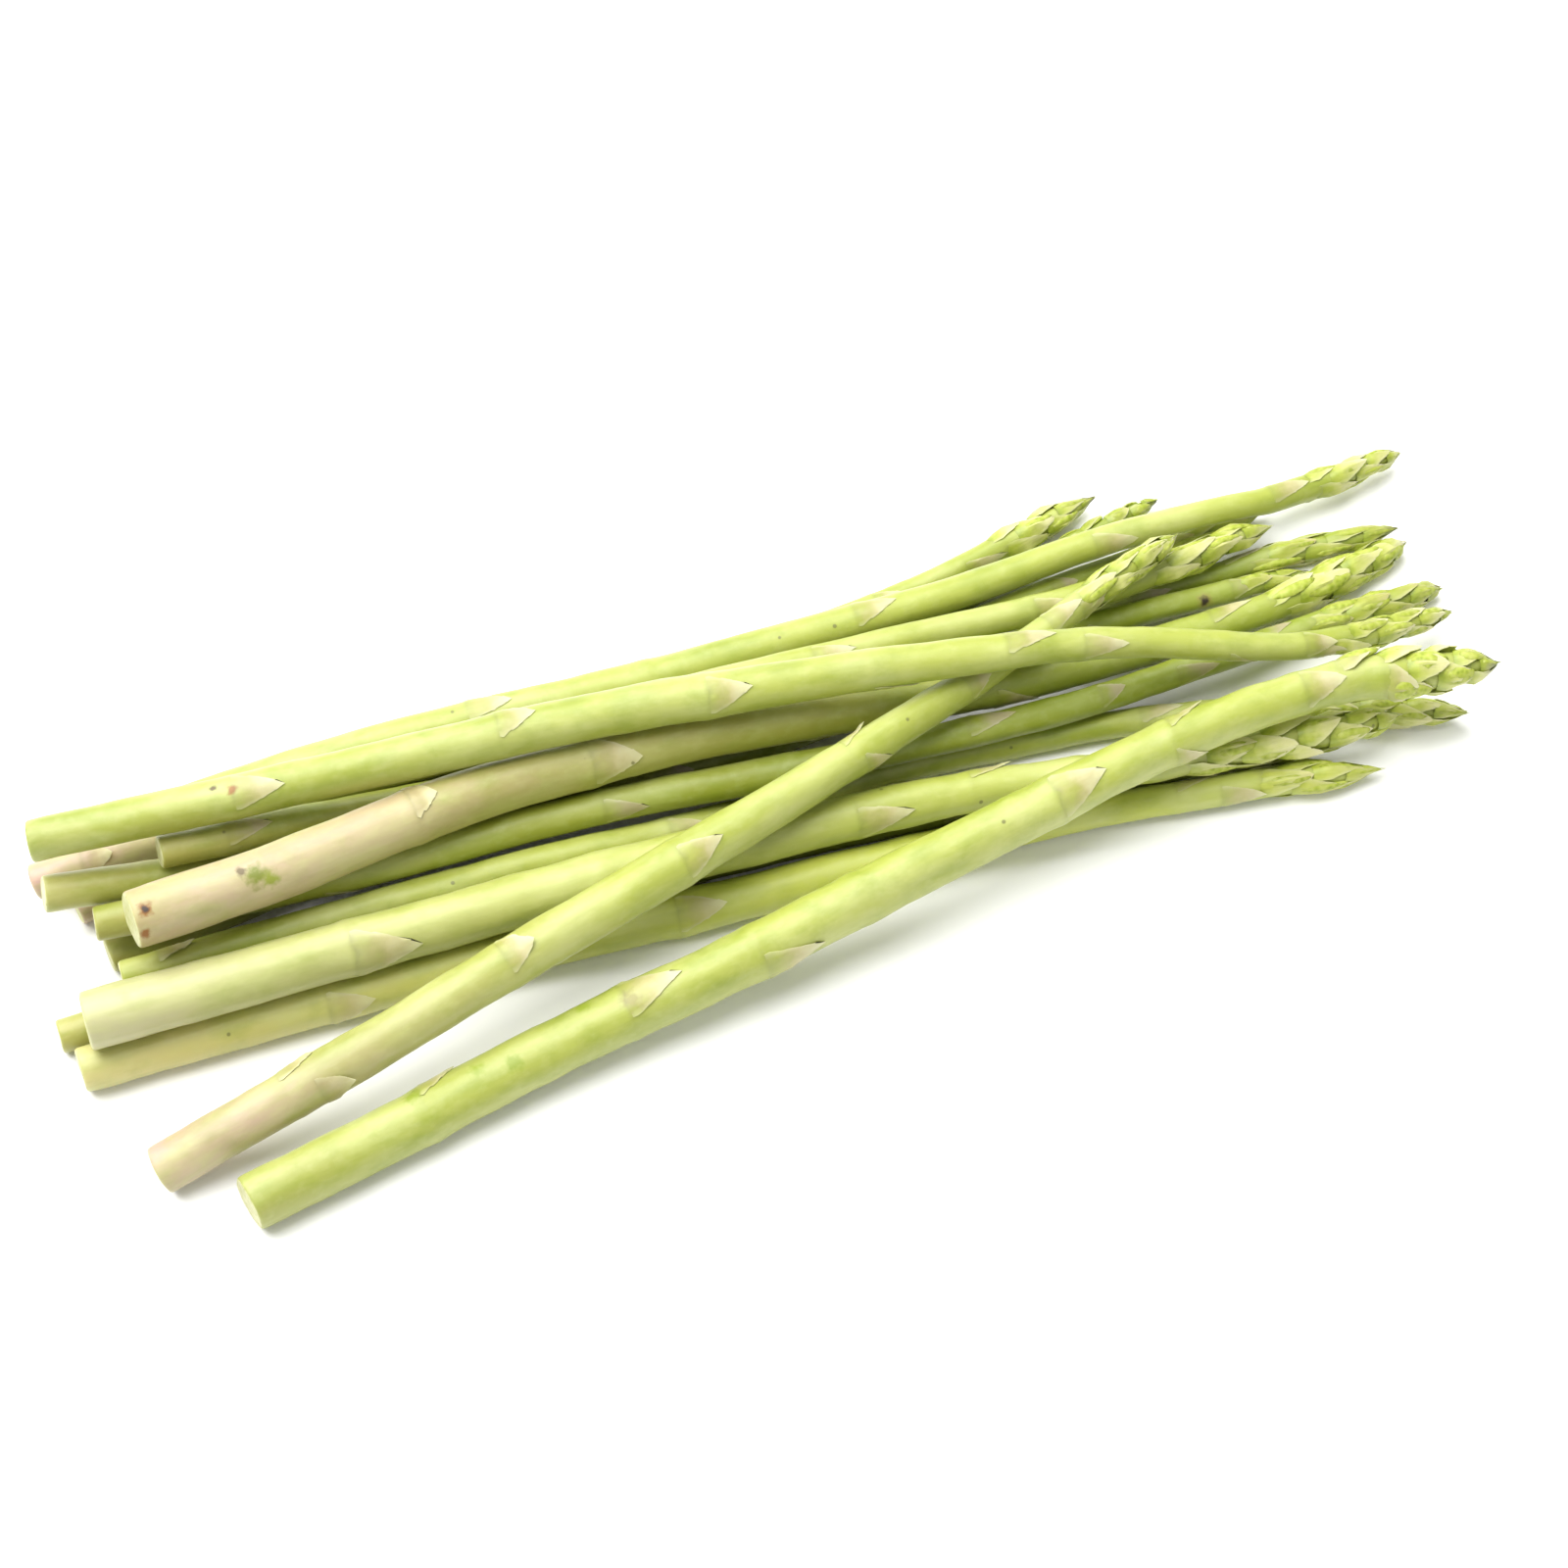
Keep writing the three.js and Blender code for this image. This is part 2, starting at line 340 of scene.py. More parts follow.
patterns = {
    "clasping": [makeLeaf("claspingLeaf", stalkLeaf, seed) for seed in (1, 2, 3)],
    "lifted": [makeLeaf("liftedLeaf", stalkLeaf, seed, flare=0.12) for seed in (4, 5)],
    "curled": [makeLeaf("curledLeaf", stalkLeaf, seed, flare=0.20, curl=0.16) for seed in (6, 7)],
    "head": [makeLeaf("headScale", headLeaf, seed, flare=-0.05) for seed in (1, 2, 3)],
    "openHead": [makeLeaf("openHeadScale", headLeaf, seed, flare=0.07, curl=0.10) for seed in (4, 5)],
    "bud": [makeBud("bud", bud)],
}
print("leaf patterns made:", {name: len(p[0].data.polygons) for name, p in patterns.items()})


# What asparagus is made of. The skin is a living plant skin under a thin film of wax, so it shines
# softly, lets a little light in and shows fine lengthwise veins.

waxySkin = {
    "roughness": (0.42, 0.62),  # where the bloom is thin, and where it is thick
    "film": 1.0,  # how much of the wax film shows as a clear sheen
    "filmRoughness": 0.52,
    "vein": (30 * mm, 0.8 * mm),  # length and width, as in the next four
    "patch": (14 * mm, 6 * mm),
    "blotch": (6 * mm, 4.2 * mm),
    "grain": (2.6 * mm, 1.9 * mm),
    "bloom": (20 * mm, 7 * mm),
    "leafCloud": 3.0 * mm,  # width of the dry clouds on a scale leaf
    "markGrain": 1.25 * mm,  # of the ragged edge of a mark
    "speckSpacing": 10 * mm,
    "speckColour": "#5b5a22",
    "scatter": 1.1 * mm,  # how deep light goes in
    "relief": 0.35 * mm,
    "apart": 0.37,  # how far apart in the noise two spears are
}
freshScale = {
    "vein": (6 * mm, 0.5 * mm),
    "cloud": 2.4 * mm,
    "relief": 0.15 * mm,
    "scatter": 0.8 * mm,
}
budSkin = {
    "grain": 1.1 * mm,  # width of one unopened scale
    "relief": 0.3 * mm,
    "scatter": 1.0 * mm,
}
wetPith = {
    "fibreSpacing": 1.1 * mm,
    "fibres": [(0.0, "#8d9250"), (0.22, "#b9ba7c"), (1.0, "#cfcda0")],  # from a fibre outwards
    "relief": 0.2 * mm,
    "scatter": 1.5 * mm,
}
plantIor = 1.42
waxIor = 1.44


def startMaterial(name):
    material = bpy.data.materials.new(name)
    material.use_nodes = True
    material.node_tree.nodes.clear()
    return material, material.node_tree


def stretched(tree, place, size, detail, shift=0.0):
    # noise with patches of that length and width along the spear
    long, wide = size
    scaled = addNode(tree, "ShaderNodeMapping", {
        "Vector": place, "Location": (shift, shift, shift), "Scale": (1 / long, 1 / wide, 1 / wide)})
    noise = addNode(tree, "ShaderNodeTexNoise", {
        "Vector": scaled.outputs[0], "Scale": 1.0, "Detail": detail, "Roughness": 0.55})
    return noise.outputs[0]


def mixed(tree, base, shade, value, low, high, strength):
    # a shade laid over the base: not at all where the value is at low, up to strength where it is at high
    colour = shade if isinstance(shade, bpy.types.NodeSocket) else linear(shade)
    factor = addNode(tree, "ShaderNodeMapRange", {
        "Value": value, "From Min": low, "From Max": high, "To Max": strength}).outputs[0]
    mix = addNode(tree, "ShaderNodeMix", {0: factor, 6: base, 7: colour}, data_type="RGBA")
    return mix.outputs[2]


def driftAlong(tree, value, noise, amount):
    # a value that wanders with the noise
    centred = addNode(tree, "ShaderNodeMath", {0: noise, 1: 0.5}, operation="SUBTRACT").outputs[0]
    return addNode(tree, "ShaderNodeMath", {
        0: centred, 1: amount, 2: value}, operation="MULTIPLY_ADD").outputs[0]


def darkTip(tree, base, along, look, length):
    # the last millimetres of some spears are dark
    if look.get("tip"):
        base = mixed(tree, base, look["tip"], along,
                     low=length - 3.2 * mm, high=length - 0.6 * mm, strength=0.9)
    return base


def marked(tree, base, place, look, surface):
    # rust, scars and holes, each a ragged round spot on the skin. The near-black middle of a hole is
    # painted shade, standing in for the dark hollow inside it.
    for distance, turn, size, shade in look.get("marks", []):
        radius = surface(distance * mm)
        angle = math.radians(turn)
        spot = (distance * mm, -radius * math.sin(angle), radius * math.cos(angle))
        ragged = addNode(tree, "ShaderNodeTexNoise", {
            "Vector": place, "Scale": 1 / waxySkin["markGrain"]}).outputs[0]
        away = addNode(tree, "ShaderNodeVectorMath", {
            0: place, 1: spot}, operation="DISTANCE").outputs["Value"]
        reach = driftAlong(tree, away, ragged, amount=1.6 * size * mm)
        base = mixed(tree, base, shade, reach, low=size * mm, high=0.3 * size * mm, strength=1.0)
    return base


def waxySkinMaterial(name, look, length, surface):
    material, tree = startMaterial(name)
    place = addNode(tree, "ShaderNodeAttribute", attribute_name="straight").outputs["Vector"]
    offset = addNode(tree, "ShaderNodeVectorMath", {
        0: place, 1: (look["seed"] * waxySkin["apart"], 0, 0)}).outputs[0]
    along = addNode(tree, "ShaderNodeSeparateXYZ", {0: place}).outputs["X"]
    patches = stretched(tree, offset, waxySkin["patch"], detail=3.0)
    bloom = stretched(tree, offset, waxySkin["bloom"], detail=4.0, shift=5.2)
    veins = stretched(tree, offset, waxySkin["vein"], detail=2.0)
    blotches = stretched(tree, offset, waxySkin["blotch"], detail=4.0, shift=2.7)
    grain = stretched(tree, offset, waxySkin["grain"], detail=3.0, shift=9.1)

    # one shade at the cut end, another up the spear, with the change wandering a little
    share = addNode(tree, "ShaderNodeMath", {0: along, 1: 1 / length}, operation="MULTIPLY").outputs[0]
    drift = driftAlong(tree, share, patches, amount=0.20)
    base = addNode(tree, "ShaderNodeValToRGB", {0: drift}, stops=look["shades"]).outputs[0]
    base = mixed(tree, base, look["deep"], patches, low=0.50, high=0.72, strength=look["deepness"])
    base = mixed(tree, base, look["pale"], bloom, low=0.46, high=0.72, strength=look["bloom"])
    base = mixed(tree, base, look["deep"], blotches, low=0.52, high=0.74, strength=0.7 * look["deepness"])
    base = mixed(tree, base, look["pale"], grain, low=0.48, high=0.78, strength=0.22)
    base = mixed(tree, base, look["deep"], veins, low=0.45, high=0.85, strength=0.10)

    # the ring under each scale leaf, then the leaf itself, which gets drier towards its point
    ring = addNode(tree, "ShaderNodeAttribute", attribute_name="ring").outputs["Fac"]
    base = mixed(tree, base, look["ring"], ring, low=0.0, high=1.0, strength=0.24)
    leaf = addNode(tree, "ShaderNodeAttribute", attribute_name="leafShare").outputs["Fac"]
    isLeaf = addNode(tree, "ShaderNodeMath", {0: leaf, 1: 0.02}, operation="GREATER_THAN").outputs[0]
    clouds = addNode(tree, "ShaderNodeTexNoise", {
        "Vector": offset, "Scale": 1 / waxySkin["leafCloud"], "Detail": 3.0}).outputs[0]
    leafDrift = driftAlong(tree, leaf, clouds, amount=0.7)
    dry = addNode(tree, "ShaderNodeValToRGB", {0: leafDrift}, stops=look["stalkLeaf"]).outputs[0]
    dryness = addNode(tree, "ShaderNodeMath", {0: leafDrift, 1: isLeaf}, operation="MULTIPLY").outputs[0]
    base = mixed(tree, base, dry, dryness, low=0.05, high=0.55, strength=look["dryness"])
    edge = addNode(tree, "ShaderNodeAttribute", attribute_name="leafEdge").outputs["Fac"]
    rim = addNode(tree, "ShaderNodeMath", {0: edge, 1: isLeaf}, operation="MULTIPLY").outputs[0]
    base = mixed(tree, base, look["rim"], rim, low=0.75, high=1.0, strength=0.45)

    # small dark specks, a few to each spear, then the marks of this one
    specks = addNode(tree, "ShaderNodeTexVoronoi", {
        "Vector": offset, "Scale": 1 / waxySkin["speckSpacing"]}).outputs["Distance"]
    base = mixed(tree, base, waxySkin["speckColour"], specks, low=0.045, high=0.028, strength=0.7)
    base = darkTip(tree, base, along, look, length)
    base = marked(tree, base, place, look, surface)

    # the relief: blotches, with a little of the veins and some of the grain on top
    coarse = addNode(tree, "ShaderNodeMath", {
        0: veins, 1: 0.12, 2: blotches}, operation="MULTIPLY_ADD").outputs[0]
    height = addNode(tree, "ShaderNodeMath", {
        0: grain, 1: 0.4, 2: coarse}, operation="MULTIPLY_ADD").outputs[0]
    bump = addNode(tree, "ShaderNodeBump", {
        "Height": height, "Strength": 0.4, "Distance": waxySkin["relief"]}).outputs[0]
    smoothest, roughest = waxySkin["roughness"]
    roughness = addNode(tree, "ShaderNodeMapRange", {
        "Value": bloom, "From Min": 0.3, "From Max": 0.75,
        "To Min": smoothest, "To Max": roughest}).outputs[0]
    shader = addNode(tree, "ShaderNodeBsdfPrincipled", {
        "Base Color": base, "Roughness": roughness, "IOR": plantIor, "Normal": bump,
        "Subsurface Weight": 0.2, "Subsurface Radius": (0.8, 1.0, 0.35),
        "Subsurface Scale": waxySkin["scatter"], "Coat Weight": waxySkin["film"],
        "Coat Roughness": waxySkin["filmRoughness"], "Coat IOR": waxIor})
    addNode(tree, "ShaderNodeOutputMaterial", {0: shader.outputs[0]})
    return material


# The scales of the head are fresh and thin: yellow-green where they join, creamy towards the point,
# with a paler rim.

def freshScaleMaterial(name, look, length):
    material, tree = startMaterial(name)
    place = addNode(tree, "ShaderNodeAttribute", attribute_name="straight").outputs["Vector"]
    along = addNode(tree, "ShaderNodeSeparateXYZ", {0: place}).outputs["X"]
    veins = stretched(tree, place, freshScale["vein"], detail=2.0)
    clouds = addNode(tree, "ShaderNodeTexNoise", {
        "Vector": place, "Scale": 1 / freshScale["cloud"], "Detail": 3.0}).outputs[0]
    share = addNode(tree, "ShaderNodeAttribute", attribute_name="leafShare").outputs["Fac"]
    drift = driftAlong(tree, share, clouds, amount=0.7)
    base = addNode(tree, "ShaderNodeValToRGB", {0: drift}, stops=look["headLeaf"]).outputs[0]
    base = mixed(tree, base, look["deep"], veins, low=0.5, high=0.85, strength=0.35)
    edge = addNode(tree, "ShaderNodeAttribute", attribute_name="leafEdge").outputs["Fac"]
    base = mixed(tree, base, look["rim"], edge, low=0.7, high=1.0, strength=0.5)
    base = darkTip(tree, base, along, look, length)
    bump = addNode(tree, "ShaderNodeBump", {
        "Height": veins, "Strength": 0.4, "Distance": freshScale["relief"]}).outputs[0]
    shader = addNode(tree, "ShaderNodeBsdfPrincipled", {
        "Base Color": base, "Roughness": 0.42, "IOR": plantIor, "Normal": bump,
        "Subsurface Weight": 0.25, "Subsurface Radius": (0.8, 1.0, 0.4),
        "Subsurface Scale": freshScale["scatter"],
        "Coat Weight": 0.6, "Coat Roughness": 0.42, "Coat IOR": waxIor})
    addNode(tree, "ShaderNodeOutputMaterial", {0: shader.outputs[0]})
    return material


# Buds are packed with tiny unopened scales, so they are a little rough and a fresh yellow-green.

def budMaterial(name, look):
    material, tree = startMaterial(name)
    place = addNode(tree, "ShaderNodeAttribute", attribute_name="straight").outputs["Vector"]
    grains = addNode(tree, "ShaderNodeTexVoronoi", {
        "Vector": place, "Scale": 1 / budSkin["grain"]}).outputs["Distance"]
    base = addNode(tree, "ShaderNodeValToRGB", {0: grains}, stops=look["bud"]).outputs[0]
    bump = addNode(tree, "ShaderNodeBump", {
        "Height": grains, "Strength": 0.5, "Distance": budSkin["relief"]}, invert=True).outputs[0]
    shader = addNode(tree, "ShaderNodeBsdfPrincipled", {
        "Base Color": base, "Roughness": 0.48, "IOR": plantIor, "Normal": bump,
        "Subsurface Weight": 0.25, "Subsurface Radius": (0.8, 1.0, 0.35),
        "Subsurface Scale": budSkin["scatter"]})
    addNode(tree, "ShaderNodeOutputMaterial", {0: shader.outputs[0]})
    return material


# The cut end shows wet pith, pale green to cream, with the ends of the long fibres as darker dots.

def cutPithMaterial():
    material, tree = startMaterial("cutPith")
    place = addNode(tree, "ShaderNodeAttribute", attribute_name="straight").outputs["Vector"]
    fibres = addNode(tree, "ShaderNodeTexVoronoi", {
        "Vector": place, "Scale": 1 / wetPith["fibreSpacing"]}).outputs["Distance"]
    base = addNode(tree, "ShaderNodeValToRGB", {0: fibres}, stops=wetPith["fibres"]).outputs[0]
    bump = addNode(tree, "ShaderNodeBump", {
        "Height": fibres, "Strength": 0.4, "Distance": wetPith["relief"]}).outputs[0]
    shader = addNode(tree, "ShaderNodeBsdfPrincipled", {
        "Base Color": base, "Roughness": 0.42, "IOR": 1.36, "Normal": bump,
        "Subsurface Weight": 0.3, "Subsurface Radius": (1.0, 0.9, 0.5),
        "Subsurface Scale": wetPith["scatter"]})
    addNode(tree, "ShaderNodeOutputMaterial", {0: shader.outputs[0]})
    return material


cutPith = cutPithMaterial()
print("cut pith made")

# Looks. shades run from the cut end to the tip, stalkLeaf and headLeaf from the base of a leaf to its
# point, and bud from the middle of a grain outwards. deepness, bloom and dryness say how strongly the
# deep, pale and dry shades are laid on. ring is the line under a scale leaf, rim is a leaf's edge, and tip
# is a dark tip. A mark is (mm from the cut end, turn in degrees, size in mm, shade).

greenLook = {
    "shades": [(0.0, "#a0a44b"), (0.08, "#9ea640"), (0.45, "#a7af4a"), (0.8, "#a6af43"), (1.0, "#9ca738")],
    "deep": "#819216", "deepness": 0.6,
    "pale": "#c4c883", "bloom": 0.6,
    "ring": "#797d2e",
    "stalkLeaf": [(0.0, "#8e8c3c"), (0.2, "#a0925c"), (0.5, "#bfb482"), (1.0, "#d6d4a4")],
    "dryness": 0.78,
    "rim": "#cfcf9e",
    "headLeaf": [(0.0, "#8b9b26"), (0.2, "#abb744"), (0.5, "#c8cc74"), (1.0, "#dad79c")],
    "bud": [(0.0, "#849525"), (0.4, "#a7b442"), (1.0, "#bcc463")],
}
paleLook = dict(
    greenLook,
    shades=[(0.0, "#b8b584"), (0.12, "#b3b472"), (0.4, "#acb256"), (0.8, "#a8b048"), (1.0, "#9ca738")],
    deepness=0.35,
)
lowFrontLook = dict(
    paleLook,
    shades=[(0.0, "#c7be79"), (0.15, "#c4c06f"), (0.4, "#bac051"), (0.8, "#b3bc43"), (1.0, "#a6b33e")],
    headLeaf=[(0.0, "#a5b339"), (0.3, "#bac352"), (0.7, "#c6cb71"), (1.0, "#cfcb86")],
)
oliveLook = dict(
    greenLook,
    shades=[(0.0, "#a29e4e"), (0.12, "#949935"), (0.5, "#8c9528"), (0.8, "#889520"), (1.0, "#899725")],
    deepness=0.5, bloom=0.3,
    stalkLeaf=[(0.0, "#929644"), (0.35, "#a59e70"), (0.75, "#ae9f7e"), (1.0, "#bdb689")],
    headLeaf=[(0.0, "#8d9e2d"), (0.3, "#a1ab3e"), (0.7, "#b1b65b"), (1.0, "#bab472")],
    bud=[(0.0, "#87982c"), (0.4, "#a2af40"), (1.0, "#b3bc57")],
)
pinkButtLook = dict(
    paleLook,
    shades=[(0.0, "#bc9c8a"), (0.08, "#b3a07e"), (0.2, "#a5a35c"), (0.42, "#a6ad46"), (1.0, "#9ca738")],
)
creamLook = dict(
    paleLook,
    shades=[(0.0, "#ae986e"), (0.05, "#b8a284"), (0.17, "#b4a27a"), (0.28, "#a09856"), (0.42, "#9d9943"),
            (0.58, "#959a36"), (0.76, "#97a333"), (1.0, "#9ca738")],
    bloom=0.4,
    marks=[(2.4, 18, 1.6, "#8a5600"), (1.2, 66, 1.4, "#8a5600"), (2.4, 18, 0.8, "#2e1a00"),
           (22, 22, 2.6, "#747c1a"), (24.5, 40, 1.8, "#868f26"), (20, 6, 1.2, "#66562a")],
)
frontMarks = [(33, -28, 2.2, "#8c9c2a"), (45, -12, 1.8, "#90a02c"), (51, 14, 2.0, "#8c9c2a"),
              (66, -34, 1.6, "#90a02c"), (74, 2, 2.4, "#97924e")]
rustyLook = dict(greenLook, marks=[(36, 12, 1.2, "#94661a"), (33, -4, 0.8, "#5c4e18")])
# a hole: an olive rim in the skin's own colour, and inside it a near-black spot of painted shade for the
# dark hollow of the hole
paintedHoleLook = dict(oliveLook, marks=[(195, 47, 1.9, "#8f8a3a"), (195, 47, 1.1, "#241006")])

looseHead = {
    "length": 27 * mm,
    "count": 16,  # scales, each with its bud
    "leaf": 9.5 * mm,  # length of the lowest scale
    "open": 0.5,  # share of the scales that stand open
    "bud": 1.0,  # width of a bud, as a share of the pattern's
    "closing": 8 * mm,  # the last stretch, over which the head closes
    "blunt": 2.2,  # 1 closes straight to a point, more is rounder
}
closedHead = dict(looseHead, length=26 * mm, count=15, leaf=11 * mm, open=0.08, bud=0.8, blunt=1.7)

# Each spear: its solid, its slot, its look, its head, and its scale leaves as (mm from the cut end, turn
# in degrees from straight up towards the front, kind, length in mm).
spears = [
    {"node": "spear_01_front", "slot": "green_spear",
     "look": dict(greenLook, tip="#6d7a26", marks=frontMarks),
     "head": dict(looseHead, length=19 * mm, count=12, leaf=8.5 * mm, bud=1.15),
     "leaves": [(34, -61, "clasping", 8), (73, -7, "clasping", 11), (98, 79, "clasping", 11),
                (118, 215, "clasping", 9), (157, 25, "clasping", 10), (181, -65, "lifted", 8),
                (180, 84, "clasping", 6), (206, 24, "clasping", 8), (213, -58, "budded", 8),
                (221, 66, "budded", 6), (223, 200, "clasping", 6)]},
    {"node": "spear_02_crossing", "slot": "green_spear", "look": pinkButtLook,
     "head": dict(closedHead, length=24 * mm, blunt=3.0),
     "leaves": [(26, -61, "clasping", 7), (31, 77, "lifted", 6), (69, -5, "curled", 6),
                (104, 27, "clasping", 8), (140, -64, "curled", 7), (142, 94, "clasping", 5),
                (166, 39, "clasping", 6), (186, -4, "clasping", 8), (193, 60, "clasping", 8)]},
    {"node": "spear_03_low_front", "slot": "pale_spear", "look": lowFrontLook,
     "head": dict(closedHead, length=22 * mm, count=12, leaf=11.5 * mm, blunt=1.3),
     "leaves": [(44, 67, "clasping", 8), (107, 31, "clasping", 9), (150, 170, "clasping", 8),
                (175, -60, "clasping", 7), (199, -43, "clasping", 8), (207, 66, "lifted", 8)]},
    {"node": "spear_04_tucked_under", "slot": "olive_spear", "look": oliveLook,
     "head": dict(closedHead, length=24 * mm),
     "leaves": [(50, 40, "clasping", 7), (110, 100, "clasping", 7), (160, 30, "clasping", 6),
                (195, 10, "clasping", 5)]},
    {"node": "spear_05_pale_thick", "slot": "pale_spear", "look": paleLook,
     "head": dict(looseHead, length=42 * mm, count=22, leaf=10.5 * mm, open=0.55, bud=0.95),
     "leaves": [(47, 47, "clasping", 12), (92, 190, "clasping", 9), (139, 49, "clasping", 10),
                (160, -61, "lifted", 8), (180, 130, "clasping", 7), (194, 10, "clasping", 8)]},
    {"node": "spear_06_long_slim", "slot": "green_spear", "look": greenLook,
     "head": dict(looseHead, length=25 * mm, count=16),
     "leaves": [(7, -40, "curled", 7), (60, 150, "clasping", 7), (99, 16, "clasping", 8),
                (140, 120, "clasping", 7), (188, -22, "clasping", 8), (210, 60, "lifted", 6)]},
    {"node": "spear_07_middle", "slot": "olive_spear", "look": oliveLook,
     "head": dict(looseHead, length=25 * mm, count=17, open=0.45, blunt=3.5),
     "leaves": [(40, 140, "clasping", 7), (91, 48, "clasping", 8), (125, 200, "clasping", 7),
                (158, -4, "clasping", 9), (183, 22, "clasping", 5), (198, 53, "clasping", 8),
                (216, -30, "clasping", 6)]},
    {"node": "spear_08_bent_pale", "slot": "pale_spear", "look": creamLook,
     "head": dict(looseHead, length=28 * mm, count=15, leaf=12 * mm, open=0.3, blunt=3.2),
     "leaves": [(52, -15, "clasping", 5), (85, 32, "clasping", 9), (125, 160, "clasping", 8),
                (160, 100, "clasping", 8), (190, 65, "clasping", 10), (203, -30, "clasping", 9)]},
    {"node": "spear_09_olive", "slot": "olive_spear", "look": dict(oliveLook, tip="#4a5020"),
     "head": dict(closedHead, length=27 * mm, count=13, leaf=11 * mm, open=0.3),
     "leaves": [(50, 60, "clasping", 7), (110, 20, "clasping", 7), (170, 120, "clasping", 7),
                (205, 40, "clasping", 8), (224, -54, "clasping", 8)]},
    {"node": "spear_10_short_cut", "slot": "green_spear", "look": dict(paintedHoleLook, tip="#4a5020"),
     "head": dict(closedHead, length=13 * mm, count=9, leaf=7.5 * mm, open=0.4),
     "leaves": [(12, 10, "clasping", 8), (70, 80, "clasping", 7), (130, 20, "clasping", 7),
                (172, 60, "clasping", 6), (201, 20, "clasping", 6)]},
    {"node": "spear_11_top", "slot": "green_spear", "look": rustyLook,
     "head": dict(looseHead, length=25 * mm, count=14, leaf=9 * mm, open=0.4),
     "leaves": [(36, 11, "clasping", 9), (83, -19, "clasping", 7), (120, 34, "clasping", 8),
                (150, 150, "clasping", 8), (174, -15, "clasping", 9), (188, 39, "clasping", 8),
                (215, 120, "clasping", 6), (229, 30, "lifted", 6), (231, 84, "lifted", 6)]},
    {"node": "spear_12_rear", "slot": "green_spear", "look": greenLook,
     "head": dict(closedHead, length=19 * mm, count=13, open=0.15, leaf=8.5 * mm, blunt=3.4),
     "leaves": [(67, -21, "clasping", 8), (100, 130, "clasping", 7), (139, 0, "clasping", 8),
                (186, 49, "clasping", 8), (221, -5, "clasping", 8)]},
    {"node": "spear_13_pink_butt", "slot": "pale_spear", "look": pinkButtLook,
     "head": dict(closedHead, length=28 * mm, open=0.15),
     "leaves": [(10, 20, "curled", 6), (60, 140, "clasping", 7), (144, 10, "clasping", 8),
                (186, 37, "clasping", 8), (204, -40, "clasping", 8)]},
    {"node": "spear_14_back_floor", "slot": "pale_spear", "look": dict(pinkButtLook, tip="#4c4a24"),
     "head": dict(closedHead, length=22 * mm, count=13, leaf=9.5 * mm, blunt=1.3),
     "leaves": [(60, 30, "clasping", 5), (120, -30, "clasping", 5), (155, 10, "clasping", 5),
                (173, 60, "clasping", 8)]},
    {"node": "spear_15_back_slim", "slot": "olive_spear", "look": dict(oliveLook, tip="#4a5020"),
     "head": dict(looseHead, length=20 * mm, count=13, leaf=6 * mm, bud=1.4, blunt=3.0),
     "leaves": [(60, 30, "clasping", 5), (120, -30, "clasping", 5), (170, 20, "clasping", 5)]},
    {"node": "spear_16_buried", "slot": "olive_spear", "look": dict(oliveLook, tip="#2f3514"),
     "head": dict(closedHead, length=22 * mm),
     "leaves": [(60, 30, "clasping", 5), (120, -30, "clasping", 5), (170, 20, "clasping", 5)]},
]

stalk = {
    "sides": 20,
    "step": 4.5 * mm,  # between rings where nothing happens
    "closest": 0.1 * mm,  # that two rings may be
    "buttRings": [0.0, 0.15, 0.4],  # mm from the cut end
    "rim": 0.7 * mm,  # how far the edge of the cut end is rounded
    "rimShare": 0.8,  # of a full quarter round
    "leafRings": [-2.4, -1.1, -0.45, 0.0, 0.45, 1.4],  # mm from the base of a scale leaf
    "swelling": 0.035,  # how much wider the stalk is at a scale leaf
    "swellingLength": 1.6 * mm,
    "core": 0.84,  # the stalk inside the head, as a share of the head's width
    "coreBlend": 8 * mm,  # over which it narrows to that
    "tipGap": 0.4 * mm,  # no ring nearer to the tip
    "tipRadius": 0.2 * mm,
    "thinnest": 0.15 * mm,
    "cutInsets": [(0.2, 0.0), (0.4, -0.15 * mm)],  # share of the radius, and how deep, at the cut end
    "unevenness": 0.65 * mm,
    "lump": 9,  # mm across on the first spear
    "lumpStep": 0.4,  # mm more on each next one
    "firstSeed": 100,
}


def stalkRings(spear, length, radiusAt):
    # where the stalk has a ring and how wide it is there
    places = [place * mm for place in stalk["buttRings"]] + [stalk["rim"]]
    count = int(length / stalk["step"])
    places += [length * (i + 0.5) / count for i in range(count)]
    for distance, _, _, _ in spear["leaves"]:
        places += [(distance + shift) * mm for shift in stalk["leafRings"]]
    places = sorted(place for place in places if 0 <= place < length - stalk["tipGap"])
    kept = [places[0]]
    for place in places[1:]:
        if place - kept[-1] > stalk["closest"]:
            kept.append(place)
    headStart = length - spear["head"]["length"]
    rings = []
    for place in kept:
        radius = radiusAt(place)
        for distance, _, _, _ in spear["leaves"]:
            away = (place - distance * mm) / stalk["swellingLength"]
            radius *= 1 + stalk["swelling"] * math.exp(-away ** 2)
        if place < stalk["rim"]:
            quarterRound = 1 - math.sqrt(1 - (1 - place / stalk["rim"]) ** 2)
            radius -= stalk["rim"] * quarterRound * stalk["rimShare"]
        inHead = min(max((place - headStart) / stalk["coreBlend"], 0), 1)
        radius *= 1 - (1 - stalk["core"]) * inHead
        rings.append((place, radius))
    return rings + [(length, stalk["tipRadius"])]


